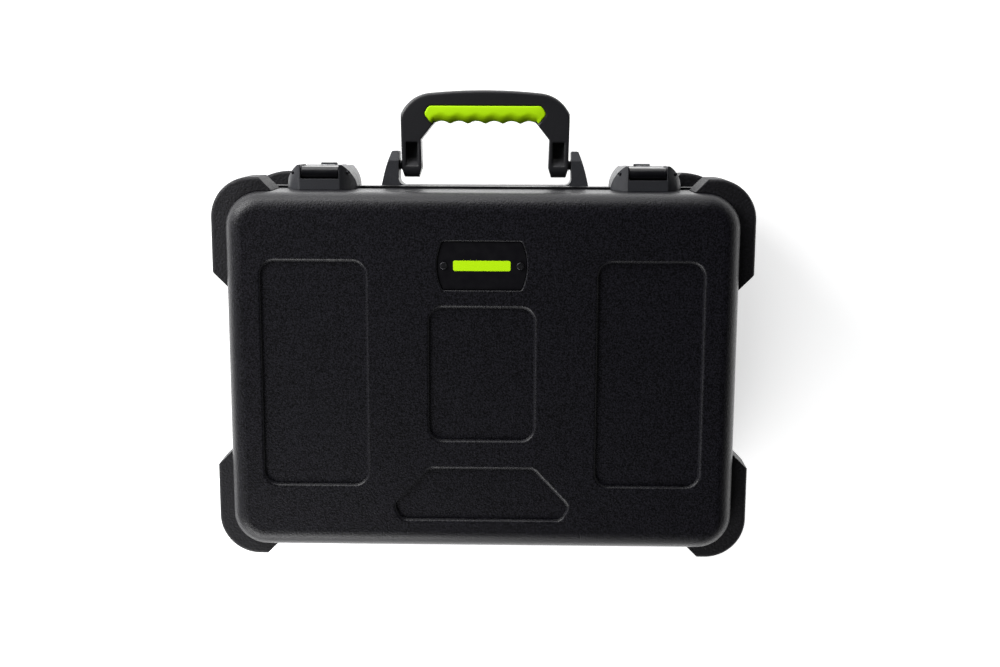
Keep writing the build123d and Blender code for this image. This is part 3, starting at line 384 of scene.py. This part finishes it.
# the lid's foam, cut as egg crate
CRATE_CELL = 2.8 * MM
CRATE_ROUNDS = 3
CRATE_PITCH = 34.0 * MM
CRATE_DEPTH = 12.0 * MM
crate = softened("lid_foam_crate", "lid_foam", CRATE_CELL, CRATE_ROUNDS)
crate_low, crate_high = (Vector(corner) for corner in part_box("lid_foam"))
for vertex in crate.data.vertices:
    hill = (math.cos(math.tau * vertex.co.x / CRATE_PITCH)
            * math.cos(math.tau * vertex.co.y / CRATE_PITCH))
    upper = (vertex.co.z - crate_low.z) / (crate_high.z - crate_low.z)
    vertex.co.z += CRATE_DEPTH * (0.5 - 0.5 * hill) * max(0.0, 1.0 - upper)
added(crate, "lid", "foam")
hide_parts("lid_foam")

# a plain lime bar let into the name plate
BAR_HALF = Vector((25.0, 4.5, 0.0)) * MM
BAR_PROUD = 0.25 * MM
BAR_SUNK = 0.3 * MM         # how deep it reaches into the plate
BAR_CORNER = 1.6 * MM
BAR_CORNER_STEPS = 6
BAR_RIM = 0.12 * MM
plate_low, plate_high = (Vector(corner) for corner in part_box("name_plate"))


def plate_bar():
    """A flat bar with round corners and a softened rim, on the plate's face."""
    outline = []
    for side_x, side_y, start in ((1, 1, 0), (-1, 1, 1), (-1, -1, 2), (1, -1, 3)):
        for step in range(BAR_CORNER_STEPS + 1):
            angle = math.tau * (start + step / BAR_CORNER_STEPS) / 4
            outline.append((side_x * (BAR_HALF.x - BAR_CORNER) + BAR_CORNER * math.cos(angle),
                            side_y * (BAR_HALF.y - BAR_CORNER) + BAR_CORNER * math.sin(angle)))
    middle = (plate_low + plate_high) / 2
    levels = ((0.0, -BAR_SUNK), (0.0, 0.5 * BAR_PROUD), (BAR_RIM, BAR_PROUD))
    rings = [[(middle.x + x * (1 - inset / BAR_HALF.x), middle.y + y * (1 - inset / BAR_HALF.y),
               plate_high.z + height) for x, y in outline]
             for inset, height in levels]
    return lofted("plate_bar", rings, Matrix())


added(plate_bar(), "lid", "grip")

# domed rivet heads on the hinge leaves: (radius, height) points from the leaf to the dome's top
HEAD = [(3.6 * MM, -0.2 * MM), (3.6 * MM, 0.3 * MM), (3.2 * MM, 0.9 * MM), (2.2 * MM, 1.35 * MM),
        (0.9 * MM, 1.55 * MM)]
for group, body, leaf in (("hinge_rivets_lid", "lid", "hinge_leaf_lid"),
                          ("hinge_rivets_base", "base", "hinge_leaf_base")):
    low, high = (Vector(corner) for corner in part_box(group))
    height = (low.z + high.z) / 2
    for side in ("left", "right"):
        leaf_low, leaf_high = (Vector(corner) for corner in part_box(f"{leaf}_{side}"))
        middle = (leaf_low.x + leaf_high.x) / 2
        third = (leaf_high.x - leaf_low.x) / 3
        for index, x in enumerate((middle - third, middle + third)):
            head = lathe(f"rivet_head_{body}_{side}_{index + 1}", HEAD, (x, high.y, height),
                         (0, 1, 0))
            added(head, body, "steel")


# ---------------------------------------------------------------- floor, world and lamps
def weighed(tree, shares):
    """The sum of ray kinds, each times its share."""
    path = tree.nodes.new("ShaderNodeLightPath")
    total = None
    for name, share in shares:
        weigh = tree.nodes.new("ShaderNodeMath")
        weigh.operation = "MULTIPLY"
        weigh.inputs[1].default_value = share
        tree.links.new(path.outputs[name], weigh.inputs[0])
        if total is None:
            total = weigh.outputs["Value"]
            continue
        join = tree.nodes.new("ShaderNodeMath")
        tree.links.new(total, join.inputs[0])
        tree.links.new(weigh.outputs["Value"], join.inputs[1])
        total = join.outputs["Value"]
    return total


FLOOR_SIZE = 14.0
FLOOR_DROP = 0.5 * MM       # below the case's bottom face
FLOOR_COLOUR = (0.80, 0.80, 0.80, 1.0)
FLOOR_ROUGHNESS = 0.9
FLOOR_SPECULAR = 0.1
FLOOR_GLOW = 0.62           # added for the camera
FLOOR_GLOSS = 1.7           # added in reflections


def make_floor():
    """A pale floor that is white to the eye and still takes the object's shadow."""
    bpy.ops.mesh.primitive_plane_add(size=FLOOR_SIZE, location=(0, 0, -FLOOR_DROP))
    floor = bpy.context.object
    floor.name = "floor"
    material = bpy.data.materials.new("floor_pale")
    material.use_nodes = True
    tree = material.node_tree
    shader = tree.nodes["Principled BSDF"]
    shader.inputs["Base Color"].default_value = FLOOR_COLOUR
    shader.inputs["Roughness"].default_value = FLOOR_ROUGHNESS
    shader.inputs["Specular IOR Level"].default_value = FLOOR_SPECULAR
    shader.inputs["Emission Color"].default_value = (1, 1, 1, 1)
    glow = weighed(tree, (("Is Camera Ray", FLOOR_GLOW), ("Is Glossy Ray", FLOOR_GLOSS)))
    tree.links.new(glow, shader.inputs["Emission Strength"])
    floor.data.materials.append(material)


WORLD_COLOUR = (0.96, 0.98, 1.0, 1.0)
WORLD_FILL = 0.10
HORIZON_SEEN = 1.0
ZENITH_SEEN = 0.02
FALL_START = 0.15           # height of a direction, from 0 at the horizon to 1 overhead
FALL_END = 0.50


def make_world():
    """Soft fill from all round. Seen directly it is white near the horizon and dim overhead."""
    world = bpy.data.worlds.new("studio")
    bpy.context.scene.world = world
    world.use_nodes = True
    tree = world.node_tree
    fill = tree.nodes["Background"]
    fill.inputs["Color"].default_value = WORLD_COLOUR
    fill.inputs["Strength"].default_value = WORLD_FILL
    direction = tree.nodes.new("ShaderNodeTexCoord")
    split = tree.nodes.new("ShaderNodeSeparateXYZ")
    tree.links.new(direction.outputs["Generated"], split.inputs["Vector"])
    fall = tree.nodes.new("ShaderNodeMapRange")
    fall.interpolation_type = "SMOOTHSTEP"
    fall.inputs["From Min"].default_value = FALL_START
    fall.inputs["From Max"].default_value = FALL_END
    fall.inputs["To Min"].default_value = HORIZON_SEEN
    fall.inputs["To Max"].default_value = ZENITH_SEEN
    tree.links.new(split.outputs["Z"], fall.inputs["Value"])
    seen = tree.nodes.new("ShaderNodeBackground")
    tree.links.new(fall.outputs["Result"], seen.inputs["Strength"])
    mix = tree.nodes.new("ShaderNodeMixShader")
    seen_rays = weighed(tree, (("Is Camera Ray", 1.0), ("Is Glossy Ray", 1.0),
                               ("Is Transmission Ray", 1.0)))
    tree.links.new(seen_rays, mix.inputs["Fac"])
    tree.links.new(fill.outputs["Background"], mix.inputs[1])
    tree.links.new(seen.outputs["Background"], mix.inputs[2])
    tree.links.new(mix.outputs["Shader"], tree.nodes["World Output"].inputs["Surface"])


LID_CENTRE = (0.0, 0.0, 0.19)
LAMPS = (                   # name, place, width and height in metres, watts
    ("key", (1.35, -1.05, 0.95), 0.9, 0.9, 41.0),
    ("overhead", (0.45, -1.6, 0.65), 1.4, 0.6, 18.0),
    ("bounce", (0.75, 1.45, 0.95), 1.5, 0.7, 33.0),
)


def area_lamp(name, place, width, height, power):
    """A soft box that faces the middle of the lid."""
    lamp = bpy.data.lights.new(name, "AREA")
    lamp.shape = "RECTANGLE"
    lamp.size = width
    lamp.size_y = height
    lamp.energy = power
    aim = (Vector(LID_CENTRE) - Vector(place)).to_track_quat("-Z", "Y").to_matrix().to_4x4()
    placed(name, lamp).matrix_world = Matrix.Translation(place) @ aim


make_floor()
make_world()
for row in LAMPS:
    area_lamp(*row)

# ---------------------------------------------------------------- camera
# The picture's right is -X, its top is -Y, and it looks down on the lid's face.
CAMERA_PLACE = Vector((-31.27, -208.89, 1247.55)) * MM
CAMERA_YAW = -0.0144308     # radians, as the two below
CAMERA_PITCH = 0.1604076
CAMERA_ROLL = 0.0048547
CAMERA_LENS = 44.1          # millimetres, as the sensor's width
SENSOR_WIDTH = 36.0


def picture_to_case(right, away, up):
    """A direction of the picture (right, away from the viewer, up) in the case's frame."""
    return Vector((-right, -up, -away))


def make_camera():
    """The camera, turned by its yaw, pitch and roll."""
    cos_pitch = math.cos(CAMERA_PITCH)
    forward = Vector((math.sin(CAMERA_YAW) * cos_pitch, math.cos(CAMERA_YAW) * cos_pitch,
                      -math.sin(CAMERA_PITCH)))
    level = Vector((math.cos(CAMERA_YAW), -math.sin(CAMERA_YAW), 0.0))
    upright = level.cross(forward)
    right = level * math.cos(CAMERA_ROLL) + upright * math.sin(CAMERA_ROLL)
    up = upright * math.cos(CAMERA_ROLL) - level * math.sin(CAMERA_ROLL)
    axes = [picture_to_case(*axis) for axis in (right, up, -forward)]
    data = bpy.data.cameras.new("camera")
    data.sensor_fit = "HORIZONTAL"
    data.sensor_width = SENSOR_WIDTH
    data.lens = CAMERA_LENS
    camera = placed("camera", data)
    camera.matrix_world = Matrix.Translation(CAMERA_PLACE) @ Matrix(axes).transposed().to_4x4()
    bpy.context.scene.camera = camera


make_camera()
bpy.context.scene.view_settings.view_transform = "Standard"
